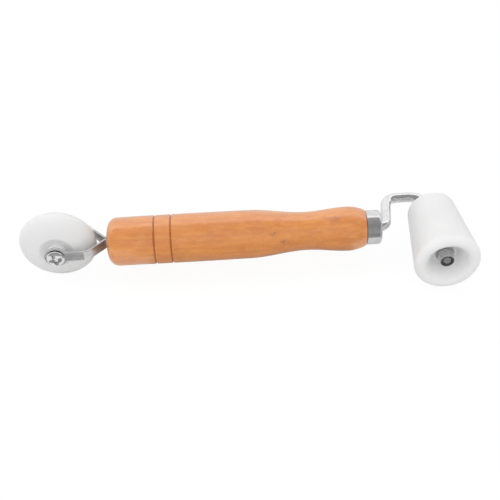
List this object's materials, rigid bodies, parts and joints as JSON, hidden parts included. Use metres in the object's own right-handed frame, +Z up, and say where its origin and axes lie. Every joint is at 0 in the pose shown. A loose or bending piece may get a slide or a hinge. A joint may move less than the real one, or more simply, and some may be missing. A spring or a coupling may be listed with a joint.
{
  "type": "seam roller",
  "caption": "Double-ended hand roller: turned wood handle with a convex plastic wheel in a steel fork at one end and a tapered plastic roller on a cranked steel rod at the other.",
  "frame": {"origin": "under the middle of the tool's box, on the plane that the convex wheel's lowest point touches; the handle's axis is 18.5 mm above it", "axes": "+X along the handle's axis, from the fork and convex wheel towards the tapered roller; +Y along both roller axes, towards the back of the cranked rod, so the tapered roller's large end and the screw head face -Y; +Z up"},
  "size_m": [0.2174, 0.0535, 0.037],
  "materials": {
    "beech_wood": "clear satin varnish over orange-tan beech",
    "white_plastic": "satin, slightly translucent white",
    "bright_steel": "bright zinc or nickel plate",
    "strip_steel": "plated, with a fine lengthwise grain",
    "dark_nylon": "dark moulded nylon"
  },
  "bodies": {
    "handle_frame": {"handle": "beech_wood", "ferrule": "bright_steel", "fork_arm_front": "strip_steel", "fork_arm_rear": "strip_steel", "wheel_axle_sleeve": "bright_steel", "wheel_thrust_washer_front": "bright_steel", "wheel_thrust_washer_rear": "bright_steel", "wheel_axle_screw": "bright_steel", "wheel_nut_washer": "bright_steel", "wheel_lock_nut": "bright_steel", "wheel_nut_nylon_ring": "dark_nylon", "roller_rod": "bright_steel", "cone_thrust_washer": "bright_steel", "cone_nut_washer": "bright_steel", "cone_lock_nut": "bright_steel", "cone_nut_nylon_ring": "dark_nylon"},
    "wheel": {"convex_wheel": "white_plastic"},
    "cone": {"cone_roller": "white_plastic"}
  },
  "joints": [
    {"name": "wheel_spin", "type": "hinge", "parent": "handle_frame", "child": "wheel", "pos_m": [-0.09016, 0.00385, 0.0185], "axis": [0, 1, 0], "continuous": true},
    {"name": "cone_spin", "type": "hinge", "parent": "handle_frame", "child": "cone", "pos_m": [0.09324, 0.00275, 0.0185], "axis": [0, 1, 0], "continuous": true}
  ]
}
